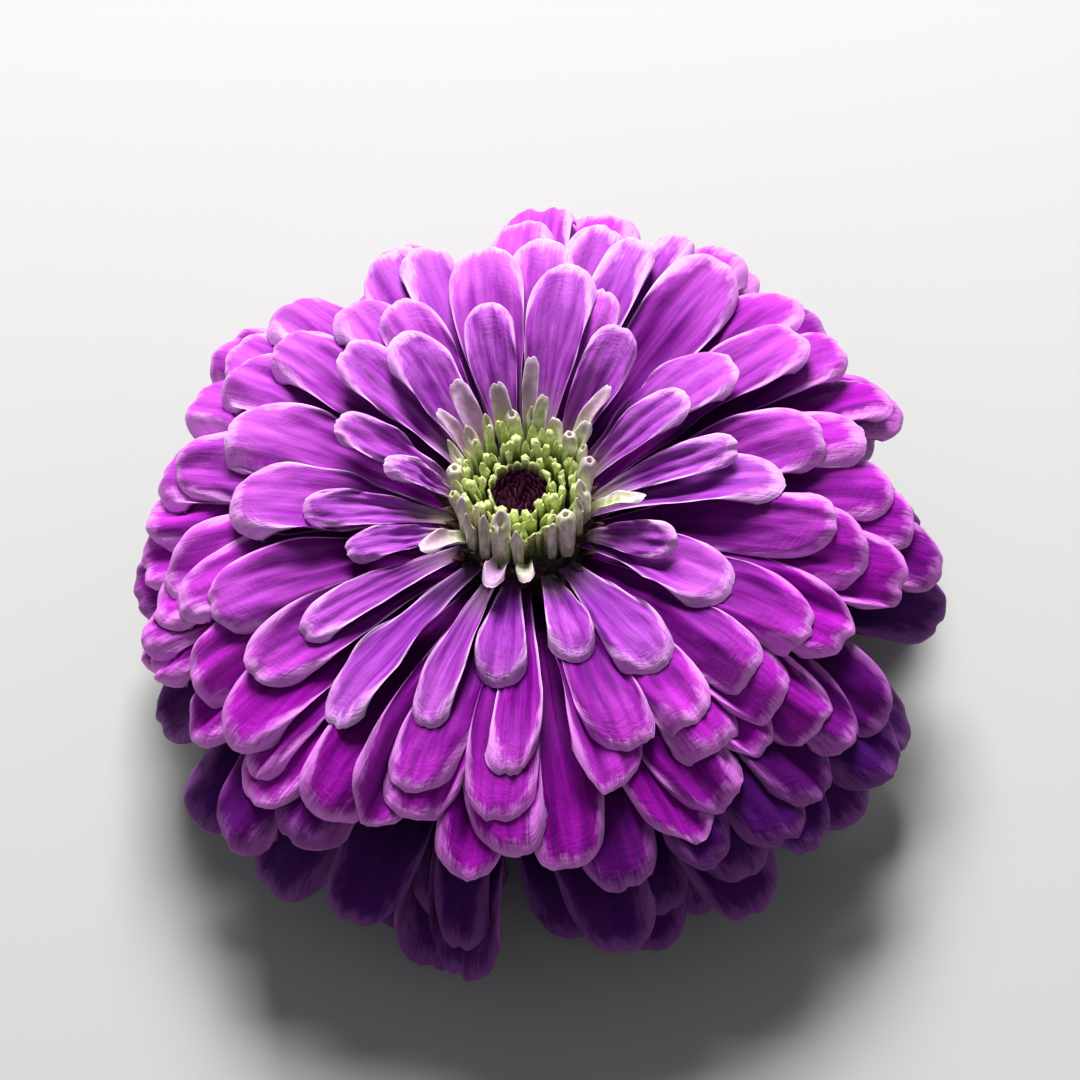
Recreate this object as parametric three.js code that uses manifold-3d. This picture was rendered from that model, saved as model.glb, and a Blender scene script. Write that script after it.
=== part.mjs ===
// A double zinnia bloom, picked with a short stub of its stem and set down face up.
// Layers of ray florets stand on a column-shaped receptacle and arch out into a dome, and the tips of
// the lowest ones carry the bloom on the surface. Round the dark eye of the disc stand two rings of
// disc florets in bud and a crown of young, still rolled ray florets. Below the rays are the cup of
// bracts and the stem stub.
//
// Millimetres, +Z up, the bloom's axis along Z. The origin is on the surface, at the middle of the
// bloom's outline seen from above.
import * as THREE from "three";
import { mergeVertices } from "three/addons/utils/BufferGeometryUtils.js";
import Module from "manifold-3d";

const wasm = await Module();
wasm.setup();

// ---------- driving dimensions ----------

const BLOOM_RADIUS = 51; // axis to the tips of the widest layer
const DOME_CENTRE_Z = 16; // height of the widest layer's tips
const DOME_RISE = 29; // from there up to where the dome of tips would close
const UPPER_REACH = 49.7; // the same for the upper layers, if they came down as far
const SPIRAL = [52, 109]; // numbers of the lower ray florets, counted down a spiral from the disc
const TIP_ANGLE = [37, 121]; // degrees from straight up to its first and last tip, seen from the centre
const RAY_WIDTH = 9.8; // of the lower ones
const RAY_THICKNESS = 1.0; // at the midrib, thinning out to the edges
const LOWER_TAPER = 1.6; // how fast the layers below the widest one draw in
const UPPER_SKEW = 2.2; // how much higher the upper tips stand on the +Y side, where they are younger
const UPPER_DROOP = 1; // and how far they hang below the dome all round
const RESTING_RAY_COUNT = 9; // the lowest ones, whose tips are pressed flat on the surface
const PRESSED = 0.5; // how much of a resting tip's height is lost to that
const DISC_BED_Z = 34; // flat top of the receptacle, which the disc sits on
const RECEPTACLE_BASE_Z = 16.5;
const EYE_RADIUS = 3.1;
const YOUNG_RAY_COUNT = 19;
const DISC_FLORET_COUNTS = [13, 17]; // inner and outer ring
const BRACT_ROWS = 3;
const BRACTS_PER_ROW = 11;
const STEM_RADIUS = 3.4;
const STEM_END_Z = 0.5; // the cut end stays just clear of the surface
const GAP = 0.3; // between one node and the next
const SLIVER = 0.01; // facets thinner than this, left where blades cross, are merged away

// The half-grown ray florets round the disc, each where it stands in this bloom: the azimuth of the
// tip in degrees from +X, how far out the tip is, how high it is, and the width.
const INNER_RAYS = [
  [7, 30.5, 36, 7],
  [13, 25.6, 39, 4.2],
  [31, 22.2, 41, 5.2],
  [36, 30, 38.5, 8.2],
  [58, 23, 42, 5.8],
  [79, 29.5, 41, 7.6],
  [101, 23.6, 42, 6],
  [125, 24.4, 41, 6.9],
  [137, 28.4, 39, 6.6],
  [156, 23.2, 39.5, 4.6],
  [165, 15.8, 39.5, 3.3],
  [182, 25, 37.5, 4.4],
  [196, 20.6, 37, 3.9],
  [211, 29.2, 35, 4.8],
  [229, 33.4, 33, 6.1],
  [247, 28.4, 34, 4.6],
  [263, 21.8, 34.5, 6.1],
  [291, 20.2, 36, 5.6],
  [309, 25.4, 35, 7.3],
  [337, 26.2, 35.5, 8],
  [341, 18.6, 38, 4.4],
];
// The full-grown ray florets of the upper layers, each where it stands in this bloom: the azimuth of
// the tip, its angle in degrees from straight up, seen from the dome's centre, and the width.
const UPPER_RAYS = [
  [67, 33, 4.6],
  [121, 36, 7],
  [270, 39, 6],
  [100, 43, 9],
  [127, 43, 8],
  [86, 44, 8],
  [178, 44, 9],
  [291, 44, 9],
  [309, 46, 8.6],
  [16, 47, 8],
  [109, 48, 7.6],
  [161, 48, 9],
  [322, 48, 8.6],
  [252, 49, 8.6],
  [315, 49, 7.6],
  [70, 50, 6],
  [142, 50, 8],
  [197, 50, 8.6],
  [76, 52, 8],
  [246, 52, 8.6],
  [117, 53, 9.6],
  [267, 53, 9.6],
  [340, 54, 9.2],
  [355, 54, 9.4],
  [35, 55, 8.2],
  [303, 55, 9.2],
  [17, 57, 7.6],
  [262, 57, 8.4],
  [278, 57, 8.6],
  [297, 57, 8.4],
  [55, 58, 9.6],
  [149, 58, 8.6],
  [236, 58, 8.8],
  [324, 58, 8.4],
  [184, 59, 8.6],
  [203, 60, 9],
  [215, 60, 9.4],
  [222, 60, 5.5],
  [133, 61, 9],
  [65, 62, 5],
  [225, 64, 9],
  [285, 64, 9.2],
  [189, 65, 9.4],
  [299, 65, 8],
  [352, 65, 9.4],
  [34, 66, 8],
  [45, 66, 8.6],
  [145, 66, 8.6],
  [327, 66, 8.4],
  [210, 67, 8.4],
  [233, 67, 9.6],
  [5, 68, 9.4],
  [167, 68, 9.6],
  [318, 69, 9],
  [58, 70, 9],
  [176, 70, 9],
  [153, 72, 9.4],
  [198, 72, 7],
  [180, 73, 9.4],
  [193, 73, 8],
  [311, 73, 9],
  [334, 73, 9.4],
  [26, 76, 8.6],
];
// The outer young ray florets, open to a narrow strap, given as INNER_RAYS are.
const STRAPS = [
  [38, 10.2, 42.5, 1.9],
  [47, 15.3, 42, 1.9],
  [73, 9.9, 43, 1.7],
  [83, 13.6, 44.5, 1.9],
  [103, 11.2, 43.5, 2.3],
  [122, 14, 42.5, 2.6],
  [137, 12.8, 41.5, 1.8],
  [209, 12.6, 39.5, 2],
  [253, 11.6, 37, 2.7],
  [275, 10.8, 37.5, 2.1],
  [358, 14.4, 40.5, 1.9],
];

const GOLDEN_ANGLE = THREE.MathUtils.degToRad(137.508);
const SEED = 807000157;

// ---------- small helpers ----------

const { lerp, clamp, degToRad } = THREE.MathUtils;

let state = SEED;
// The next number of a fixed random sequence, between low and high.
function draw(low, high) {
  state = (state * 16807) % 2147483647;
  return low + ((high - low) * state) / 2147483647;
}

function solidOf(geometry) {
  const bare = new THREE.BufferGeometry();
  bare.setAttribute("position", geometry.getAttribute("position"));
  bare.setIndex(geometry.index);
  const merged = mergeVertices(bare, 1e-4);
  const made = new wasm.Mesh({
    numProp: 3,
    vertProperties: new Float32Array(merged.attributes.position.array),
    triVerts: new Uint32Array(merged.index.array),
  });
  return new wasm.Manifold(made);
}

// The largest body of a solid, without loose scraps and with the hollows that its pieces seal filled.
function whole(solid) {
  const bodies = solid.decompose();
  return bodies.reduce((most, body) => (body.volume() > most.volume() ? body : most));
}

function geometryOf(solid) {
  const mesh = solid.getMesh();
  const geometry = new THREE.BufferGeometry();
  geometry.setAttribute("position", new THREE.BufferAttribute(mesh.vertProperties, 3));
  geometry.setIndex(new THREE.BufferAttribute(mesh.triVerts, 1));
  return geometry;
}

function node(name, solid, material) {
  const geometry = geometryOf(whole(solid.simplify(SLIVER)));
  geometry.computeVertexNormals();
  const mesh = new THREE.Mesh(geometry, material);
  mesh.name = name;
  return mesh;
}

// A solid turned about the Z axis from a profile of [radius, height] points, which runs from the
// axis at the bottom to the axis at the top.
function turned(profile, sides) {
  const lathe = new THREE.LatheGeometry(profile.map(([r, z]) => new THREE.Vector2(r, z)), sides);
  return solidOf(lathe.rotateX(Math.PI / 2));
}

// A ring with a rectangular section.
function ring(inner, outer, bottom, top, sides) {
  return turned([[inner, bottom], [outer, bottom], [outer, top], [inner, top], [inner, bottom]], sides);
}

// A blade with a lens-shaped section: a ball of a few facets, drawn out along a midrib from its root
// to its tip. place(along, across, upper) gives the point for along from 0 to 1, across from -1 to 1
// and upper from -1, the lower face, to 1, the upper face.
function blade(stations, place) {
  const ball = new THREE.SphereGeometry(1, 4, stations);
  const points = ball.getAttribute("position");
  const from = new THREE.Vector3();
  for (let i = 0; i < points.count; i++) {
    from.fromBufferAttribute(points, i);
    const along = 1 - Math.acos(clamp(from.y, -1, 1)) / Math.PI;
    const girth = Math.max(Math.hypot(from.x, from.z), 1e-6);
    const on = girth > 1e-5 ? 1 : 0;
    const to = place(along, (on * from.x) / girth, (on * from.z) / girth);
    points.setXYZ(i, to.x, to.y, to.z);
  }
  const made = solidOf(ball);
  return made.volume() > 0 ? made : solidOf(inverted(ball));
}

function inverted(geometry) {
  const index = geometry.index.array;
  for (let i = 0; i < index.length; i += 3) [index[i], index[i + 1]] = [index[i + 1], index[i]];
  return geometry;
}

// A rod with a few sides and a rounded knob or a plain end, standing at a point of the disc.
function rod(profile, sides, radius, height, azimuth, lean) {
  const made = new THREE.LatheGeometry(profile.map(([r, z]) => new THREE.Vector2(r, z)), sides);
  made.rotateX(Math.PI / 2).rotateY(lean);
  made.translate(radius, 0, height).rotateZ(azimuth);
  return solidOf(made);
}

// ---------- ray florets ----------

// The width of a ray floret as a share of its widest, from its narrow claw to its rounded tip.
function rayOutline(along) {
  const widest = 0.74;
  if (along < widest) {
    const t = along / widest;
    return 0.18 + 0.82 * t ** 1.8 * (3 - 2 * t) ** 0.6;
  }
  return Math.sqrt(Math.max(0, 1 - ((along - widest) / (1 - widest)) ** 2.6));
}

// The midrib and the habit of a ray floret: level runs from 0 beside the disc to 1 in the lowest layer.
function rayHabit(azimuth, tip, width, level) {
  const root = new THREE.Vector2(lerp(7.4, 9, level), lerp(DISC_BED_Z - 1.2, RECEPTACLE_BASE_Z + 1, level));
  const bow = degToRad(lerp(9, 27, Math.sqrt(level)) + draw(-3, 3));
  const chord = tip.clone().sub(root);
  const shoulder = chord.clone().rotateAround(new THREE.Vector2(), bow).multiplyScalar(0.55).add(root);
  return {
    azimuth,
    midrib: new THREE.QuadraticBezierCurve(root, shoulder, tip),
    width,
    roll: degToRad(draw(-14, 14)),
    sway: draw(-1.6, 1.6) * Math.sqrt(level),
    curl: lerp(0.5, 2.6, level) * draw(0.6, 1.3),
    cup: lerp(0.3, 0.2, level) * draw(0.7, 1.2),
    stations: level < 0.65 ? 6 : 7, // the layers that reach furthest have the rounder tips
  };
}

function innerRay([degrees, reach, height, width]) {
  return rayHabit(degToRad(degrees), new THREE.Vector2(reach, height), width, 0.05);
}

// The tip of a full-grown ray floret on the dome: share runs from 0 in the top layer to 1 in the lowest.
function domeTip(azimuth, angle, reach, share) {
  const spread = Math.sin(angle) ** (angle > Math.PI / 2 ? LOWER_TAPER : 1);
  const rise = (DOME_RISE / BLOOM_RADIUS) * reach * Math.cos(angle);
  const skew = (1 - share) * (UPPER_SKEW * Math.sin(azimuth) - UPPER_DROOP);
  return new THREE.Vector2(reach * spread, DOME_CENTRE_Z + rise + skew);
}

function upperRay([degrees, angle, width]) {
  const azimuth = degToRad(degrees);
  const share = Math.max(0, (angle - TIP_ANGLE[0]) / (TIP_ANGLE[1] - TIP_ANGLE[0]));
  return rayHabit(azimuth, domeTip(azimuth, degToRad(angle), UPPER_REACH, share), width, lerp(0.15, 1, share));
}

// Ray floret number i of the lower layers.
function lowerRay(i) {
  const share = i / SPIRAL[1];
  const azimuth = i * GOLDEN_ANGLE + draw(-0.09, 0.09);
  const angle = degToRad(lerp(TIP_ANGLE[0], TIP_ANGLE[1], share ** 0.95) + draw(-3, 3));
  const reach = BLOOM_RADIUS * draw(0.94, 1.01);
  const width = RAY_WIDTH * draw(0.92, 1.06);
  const tip = domeTip(azimuth, angle, reach, share);
  if (i > SPIRAL[1] - RESTING_RAY_COUNT) tip.y = -PRESSED;
  return rayHabit(azimuth, tip, width, lerp(0.15, 1, share));
}

function rayFloret(shape) {
  const { azimuth, midrib, width, roll, sway, curl, cup, stations } = shape;
  const turn = new THREE.Quaternion().setFromAxisAngle(new THREE.Vector3(0, 0, 1), azimuth);
  return blade(stations, (station, across, upper) => {
    const along = 1 - (1 - station) ** 1.9;
    const at = midrib.getPoint(along);
    const ahead = midrib.getTangent(along);
    const out = new THREE.Vector3(ahead.x, 0, ahead.y);
    const side = new THREE.Vector3(0, 1, 0).applyAxisAngle(out, -roll);
    const up = side.clone().cross(out).negate();
    const half = (width / 2) * rayOutline(along);
    const down = curl * (Math.max(0, along - 0.72) / 0.28) ** 2;
    const thick = (RAY_THICKNESS / 2) * upper * Math.min(1, half / 1.2);
    const lift = cup * half * across * across * Math.min(1, (1 - along) * 4) + thick - down;
    const place = new THREE.Vector3(at.x, sway * along * along, at.y);
    return place.addScaledVector(side, half * across).addScaledVector(up, lift).applyQuaternion(turn);
  });
}

// The column that every ray floret is rooted in.
function receptacle() {
  const waist = (DISC_BED_Z + RECEPTACLE_BASE_Z) / 2;
  return turned(
    [
      [0, RECEPTACLE_BASE_Z],
      [10.5, RECEPTACLE_BASE_Z],
      [11.5, RECEPTACLE_BASE_Z + 2.5],
      [11, waist],
      [9.2, DISC_BED_Z - 2],
      [8.4, DISC_BED_Z],
      [0, DISC_BED_Z],
    ],
    16,
  );
}

function rayFlorets() {
  const rays = [];
  for (let i = SPIRAL[0]; i <= SPIRAL[1]; i++) rays.push(lowerRay(i));
  rays.push(...UPPER_RAYS.map(upperRay), ...INNER_RAYS.map(innerRay));
  return wasm.Manifold.union([receptacle(), ...rays.map(rayFloret)]);
}

// ---------- the disc ----------

const BED_TOP = DISC_BED_Z + GAP + 0.9; // the thin bed that holds each ring of florets together

// Young ray florets: a crown of them still rolled into tubes, and outside it the ones open to a strap.
function youngRays() {
  const tubes = [ring(5.9, 7.9, DISC_BED_Z + GAP, BED_TOP, 20)];
  for (let i = 0; i < YOUNG_RAY_COUNT; i++) {
    const azimuth = (i * 2 * Math.PI) / YOUNG_RAY_COUNT + draw(-0.1, 0.1);
    const length = draw(4.6, 6.4);
    const mouth = draw(0.7, 0.9);
    const profile = [[0, 0], [0.6, 0], [mouth, length], [0, length - 0.3]];
    tubes.push(rod(profile, 6, 6.6, BED_TOP - 0.5, azimuth, degToRad(draw(0, 12))));
  }
  return wasm.Manifold.union([...tubes, ...STRAPS.map(strap)]);
}

function strap([degrees, reach, height, width]) {
  const foot = new THREE.Vector2(7, BED_TOP - 0.5);
  const tip = new THREE.Vector2(reach, height);
  const shoulder = foot.clone().lerp(tip, 0.5).add(new THREE.Vector2(-0.7, 0.6));
  const shape = { azimuth: degToRad(degrees), midrib: new THREE.QuadraticBezierCurve(foot, shoulder, tip) };
  return rayFloret({ ...shape, width, roll: 0, sway: 0, curl: 0, cup: 0.5, stations: 7 });
}

// Disc florets in bud, each a slim stalk with a round knob.
function discFlorets() {
  const buds = [ring(EYE_RADIUS + GAP, 5.6, DISC_BED_Z + GAP, BED_TOP, 20)];
  DISC_FLORET_COUNTS.forEach((count, row) => {
    for (let i = 0; i < count; i++) {
      const height = lerp(5.2, 6, row) * draw(0.88, 1.1);
      const knob = draw(0.48, 0.6);
      const azimuth = ((i + row / 2) * 2 * Math.PI) / count + draw(-0.06, 0.06);
      const profile = [[0, 0], [0.34, 0], [0.34, height - 1], [knob, height - 0.5], [0, height]];
      buds.push(rod(profile, 5, lerp(4, 5, row), BED_TOP - 0.5, azimuth, degToRad(lerp(-4, 4, row))));
    }
  });
  return wasm.Manifold.union(buds);
}

// The dark eye: a low cone of pointed scales that close over the florets still to open.
function discEye() {
  const height = 5;
  const bottom = DISC_BED_Z + GAP;
  const profile = [[0, 0], [EYE_RADIUS, 0], [EYE_RADIUS, 2.4], [2.4, 3.6], [1.2, 4.2], [0, 4.4]];
  const scales = [turned(profile.map(([r, z]) => [r, z + bottom]), 12)];
  const count = 30;
  for (let i = 0; i < count; i++) {
    const radius = (EYE_RADIUS - 0.5) * Math.sqrt((i + 0.5) / count);
    const length = height - 1.4 * (radius / EYE_RADIUS) ** 2 + draw(0, 0.5);
    const profileOfScale = [[0, 0.5], [0.42, 0.5], [0.3, length - 0.5], [0, length]];
    scales.push(rod(profileOfScale, 4, radius, bottom, i * GOLDEN_ANGLE, degToRad(-4)));
  }
  return wasm.Manifold.union(scales);
}

// ---------- bracts and stem ----------

const CUP_TOP_Z = RECEPTACLE_BASE_Z - GAP;
const CUP_BASE_Z = 7;

// Blunt bracts in three overlapping rows on a solid cup, the lowest row the shortest.
function involucre() {
  const side = [[4.2, CUP_BASE_Z], [7.6, 8.6], [9.6, 11.5], [10.2, 14], [10.2, CUP_TOP_Z]];
  const bracts = [turned([[0, CUP_BASE_Z], ...side, [0, CUP_TOP_Z]], 24)];
  for (let row = 0; row < BRACT_ROWS; row++) {
    const share = row / (BRACT_ROWS - 1);
    for (let i = 0; i < BRACTS_PER_ROW; i++) {
      const azimuth = ((i + (row % 2) / 2) * 2 * Math.PI) / BRACTS_PER_ROW + draw(-0.05, 0.05);
      bracts.push(bract(azimuth, share));
    }
  }
  return wasm.Manifold.union(bracts).subtract(above(CUP_TOP_Z));
}

// One bract, hugging the cup: share is 0 for the lowest row and 1 for the top one.
function bract(azimuth, share) {
  const spine = new THREE.QuadraticBezierCurve(
    new THREE.Vector2(lerp(3.4, 7, share), lerp(CUP_BASE_Z + 0.5, 8.6, share)),
    new THREE.Vector2(lerp(9.4, 10.6, share), lerp(CUP_BASE_Z + 0.4, 10, share)),
    new THREE.Vector2(lerp(10.4, 11.2, share), lerp(11, 16.2, share)),
  );
  const turn = new THREE.Quaternion().setFromAxisAngle(new THREE.Vector3(0, 0, 1), azimuth);
  return blade(3, (station, across, upper) => {
    const along = 1 - (1 - station) ** 1.4;
    const at = spine.getPoint(along);
    const ahead = spine.getTangent(along);
    const half = 2.6 * Math.sin(Math.PI * Math.min(0.93, 0.22 + 0.6 * along)) * (station < 1 ? 1 : 0);
    const wrap = (half * across) ** 2 / 20;
    const out = 0.45 * upper - wrap;
    return new THREE.Vector3(at.x + ahead.y * out, half * across, at.y - ahead.x * out).applyQuaternion(turn);
  });
}

// A block that holds everything above a height.
function above(z) {
  return solidOf(new THREE.BoxGeometry(120, 120, 60).translate(0, 0, z + 30));
}

// A block that holds everything below a height.
function below(z) {
  return solidOf(new THREE.BoxGeometry(120, 120, 60).translate(0, 0, z - 30));
}

// The stem stub: ribbed, a little wider under the head, and hollow at its cut end.
function stem() {
  const ribs = 10;
  const outline = new THREE.Shape();
  for (let i = 0; i <= 2 * ribs; i++) {
    const radius = STEM_RADIUS - (i % 2) * 0.35;
    const angle = (i * Math.PI) / ribs;
    outline[i ? "lineTo" : "moveTo"](radius * Math.cos(angle), radius * Math.sin(angle));
  }
  const length = CUP_BASE_Z - GAP - STEM_END_Z;
  const stub = new THREE.ExtrudeGeometry(outline, { depth: length, steps: 2, bevelEnabled: false });
  const points = stub.getAttribute("position");
  for (let i = 0; i < points.count; i++) {
    const flare = 1 + 0.18 * (points.getZ(i) / length) ** 2;
    points.setXY(i, points.getX(i) * flare, points.getY(i) * flare);
  }
  const hollow = turned([[0, -1], [1.3, -1], [1.3, 3.5], [0, 4.5]], 10);
  return solidOf(stub).subtract(hollow).translate([0, 0, STEM_END_Z]);
}

// ---------- the bloom ----------

const PETAL = new THREE.MeshStandardMaterial({ color: 0xa82cb4, roughness: 0.55 });
const YOUNG = new THREE.MeshStandardMaterial({ color: 0xb9b394, roughness: 0.6 });
const BUD = new THREE.MeshStandardMaterial({ color: 0xb4c46a, roughness: 0.6 });
const EYE = new THREE.MeshStandardMaterial({ color: 0x2c0822, roughness: 0.7 });
const BRACT = new THREE.MeshStandardMaterial({ color: 0x6d8f45, roughness: 0.7 });
const STEM = new THREE.MeshStandardMaterial({ color: 0x7da04e, roughness: 0.65 });

const bloom = new THREE.Group();
bloom.add(node("ray_florets", rayFlorets().subtract(below(0)), PETAL));
bloom.add(node("young_ray_florets", youngRays(), YOUNG));
bloom.add(node("disc_florets", discFlorets(), BUD));
bloom.add(node("disc_eye", discEye(), EYE));
bloom.add(node("involucre", involucre(), BRACT));
bloom.add(node("stem", stem(), STEM));

export default bloom;
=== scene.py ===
import math

import bmesh
import bpy
import numpy as np
from mathutils import Matrix, Vector


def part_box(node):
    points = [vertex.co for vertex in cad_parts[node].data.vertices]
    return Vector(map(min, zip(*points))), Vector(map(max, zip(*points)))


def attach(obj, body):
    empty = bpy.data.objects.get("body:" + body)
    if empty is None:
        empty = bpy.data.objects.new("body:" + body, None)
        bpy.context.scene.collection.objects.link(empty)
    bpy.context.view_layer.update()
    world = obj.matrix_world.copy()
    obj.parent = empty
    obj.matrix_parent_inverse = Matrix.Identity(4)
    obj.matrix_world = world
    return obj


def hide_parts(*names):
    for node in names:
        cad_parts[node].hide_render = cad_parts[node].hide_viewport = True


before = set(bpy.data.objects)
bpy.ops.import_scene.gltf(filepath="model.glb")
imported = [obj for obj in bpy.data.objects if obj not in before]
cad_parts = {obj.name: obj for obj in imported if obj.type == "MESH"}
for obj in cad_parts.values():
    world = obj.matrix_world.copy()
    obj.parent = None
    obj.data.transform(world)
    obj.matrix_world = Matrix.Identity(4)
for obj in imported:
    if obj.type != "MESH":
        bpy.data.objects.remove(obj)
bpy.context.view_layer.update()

# ---------- stem ----------
# The stub of the stem: a soft green rod with shallow ribs, a little wider under the head, set with
# fine hairs. It was cut across with a knife, so its end shows a pale rim round a hollow pith.

MM = 0.001
STEM_GIRTH = 0.86
STEM_RIBS = 10
RIB_DEPTH = 0.035
STEM_HAIRS = 420
HAIR_RADIUS = 0.035 * MM


class Wire:
    """A value in a node tree. Arithmetic on it adds Math or Vector Math nodes to the tree."""

    def __init__(self, socket):
        self.socket = socket

    def __add__(self, other):
        return calc("ADD", self, other)

    def __sub__(self, other):
        return calc("SUBTRACT", self, other)

    def __rsub__(self, other):
        return calc("SUBTRACT", other, self)

    def __mul__(self, other):
        return calc("MULTIPLY", self, other)

    def __truediv__(self, other):
        return calc("DIVIDE", self, other)

    def __pow__(self, other):
        return calc("POWER", self, other)

    def __neg__(self):
        return calc("MULTIPLY", self, -1.0)

    __radd__ = __add__
    __rmul__ = __mul__


def is_vector(value):
    return value.socket.type == "VECTOR" if isinstance(value, Wire) else isinstance(value, tuple)


def tree_of(*values):
    return next(value.socket.id_data for value in values if isinstance(value, Wire))


def add(tree, kind, *values, **settings):
    """Adds a node. Each value is set on, or linked to, the input socket of its place or name."""
    node = tree.nodes.new(kind)
    named = settings.pop("inputs", {})
    for key, setting in settings.items():
        setattr(node, key, setting)
    for key, value in [*enumerate(values), *named.items()]:
        if isinstance(value, Wire):
            tree.links.new(value.socket, node.inputs[key])
        elif value is not None:
            node.inputs[key].default_value = value
    return node


def node_wire(tree, kind, *values, **settings):
    """The first output of a new node."""
    return Wire(add(tree, kind, *values, **settings).outputs[0])


def calc(operation, *values):
    """One Math node, or one Vector Math node if any of the values is a vector."""
    tree = tree_of(*values)
    if not any(is_vector(value) for value in values):
        return node_wire(tree, "ShaderNodeMath", *values, operation=operation)
    if operation == "MULTIPLY" and not all(is_vector(value) for value in values):
        vector, scale = values if is_vector(values[0]) else values[::-1]
        settings = {"inputs": {"Scale": scale}, "operation": "SCALE"}
        return node_wire(tree, "ShaderNodeVectorMath", vector, **settings)
    return node_wire(tree, "ShaderNodeVectorMath", *values, operation=operation)


def smooth(value, low, high):
    """0 up to low, 1 from high on, and a smooth step between them."""
    settings = {"inputs": {"From Min": low, "From Max": high}, "interpolation_type": "SMOOTHSTEP"}
    return node_wire(tree_of(value), "ShaderNodeMapRange", value, **settings)


def xyz(x, y, z):
    return node_wire(tree_of(x, y, z), "ShaderNodeCombineXYZ", x, y, z)


def part_of(vector, axis):
    return Wire(add(tree_of(vector), "ShaderNodeSeparateXYZ", vector).outputs[axis])


def turned(vector, axis, angle):
    settings = {"Axis": axis, "Angle": angle}
    return node_wire(tree_of(vector, axis, angle), "ShaderNodeVectorRotate", vector, inputs=settings)


def noise(vector, scale, detail=2.0, roughness=0.5):
    settings = {"Vector": vector, "Scale": scale, "Detail": detail, "Roughness": roughness}
    return node_wire(tree_of(vector), "ShaderNodeTexNoise", inputs=settings)


def geometry_tree(name, **inputs):
    """A new geometry tree with a Geometry input and one named input for each size or material given."""
    tree = bpy.data.node_groups.new(name, "GeometryNodeTree")
    tree.interface.new_socket("Geometry", in_out="INPUT", socket_type="NodeSocketGeometry")
    for label, value in inputs.items():
        kind = {int: "Int", float: "Float", bpy.types.Material: "Material"}[type(value)]
        made = tree.interface.new_socket(label, in_out="INPUT", socket_type="NodeSocket" + kind)
        made.default_value = value
    tree.interface.new_socket("Geometry", in_out="OUTPUT", socket_type="NodeSocketGeometry")
    source = tree.nodes.new("NodeGroupInput")
    return tree, {socket.name: Wire(socket) for socket in source.outputs if socket.name}


def read(tree, name, vector=False):
    """The value that each seat, and then all of what grows there, has for a named attribute."""
    kind = "FLOAT_VECTOR" if vector else "FLOAT"
    return node_wire(tree, "GeometryNodeInputNamedAttribute", inputs={"Name": name}, data_type=kind)


def store(geometry, name, value):
    settings = {"Geometry": geometry, "Name": name, "Value": value}
    return node_wire(tree_of(geometry), "GeometryNodeStoreNamedAttribute", inputs=settings)


def joined(*geometries):
    node = tree_of(*geometries).nodes.new("GeometryNodeJoinGeometry")
    for geometry in geometries:
        node.id_data.links.new(geometry.socket, node.inputs[0])
    return Wire(node.outputs[0])


def finish_tree(tree, geometry, place, material):
    """Moves every point to its place and gives the result its material."""
    moved = node_wire(tree, "GeometryNodeSetPosition", geometry, inputs={"Position": place})
    rounded = node_wire(tree, "GeometryNodeSetShadeSmooth", moved)
    real = node_wire(tree, "GeometryNodeRealizeInstances", rounded)
    painted = node_wire(tree, "GeometryNodeSetMaterial", real, inputs={"Material": material})
    tree.links.new(painted.socket, tree.nodes.new("NodeGroupOutput").inputs[0])


PAINTED_ATTRIBUTES = ("along", "across", "edge", "level", "chance", "upper", "fresh", "age")


def weld(mesh, distance=0.004 * MM):
    """Closes the seams, where a body's own points meet."""
    body = bmesh.new()
    body.from_mesh(mesh)
    bmesh.ops.remove_doubles(body, verts=body.verts, dist=distance)
    body.to_mesh(mesh)
    body.free()


def grow(name, tree, seats, paint, slot, nodes, shape=None, **sizes):
    """Grows one piece from its seats, which hold one array of values for each attribute of the tree.

    An attribute left out is 0. shape moves the points of the grown mesh before its seams are closed.
    """
    inputs = {**sizes, "Material": paint.material}
    count = len(next(iter(seats.values())))
    mesh = bpy.data.meshes.new(name + "_seats")
    mesh.from_pydata([(0, 0, 0)] * count, [], [])
    for key, values in seats.items():
        values = np.asarray(values, np.float32)
        vector = values.ndim == 2
        attribute = mesh.attributes.new(key, "FLOAT_VECTOR" if vector else "FLOAT", "POINT")
        attribute.data.foreach_set("vector" if vector else "value", values.ravel())
    holder = bpy.data.objects.new(name + "_seats", mesh)
    bpy.context.scene.collection.objects.link(holder)
    modifier = holder.modifiers.new("grow", "NODES")
    modifier.node_group = tree
    for item in tree.interface.items_tree:
        if item.item_type == "SOCKET" and item.in_out == "INPUT" and item.name in inputs:
            modifier[item.identifier] = inputs[item.name]
    graph = bpy.context.evaluated_depsgraph_get()
    made = bpy.data.meshes.new_from_object(holder.evaluated_get(graph), depsgraph=graph)
    bpy.data.objects.remove(holder)
    if shape:
        shape(made)
    weld(made)
    for key in (*seats, "turn"):
        if key in made.attributes and key not in PAINTED_ATTRIBUTES:
            made.attributes.remove(made.attributes[key])
    made.name = name
    piece = bpy.data.objects.new(name, made)
    bpy.context.scene.collection.objects.link(piece)
    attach(piece, "root")
    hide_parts(*nodes)
    return piece


def srgb(red, green, blue):
    """A colour given as a screen shows it, from 0 to 255, as the linear colour that a shader takes."""
    shades = (red, green, blue)
    linear = [((c / 255 + 0.055) / 1.055) ** 2.4 if c > 10 else c / 3294.6 for c in shades]
    return (*linear, 1.0)


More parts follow.
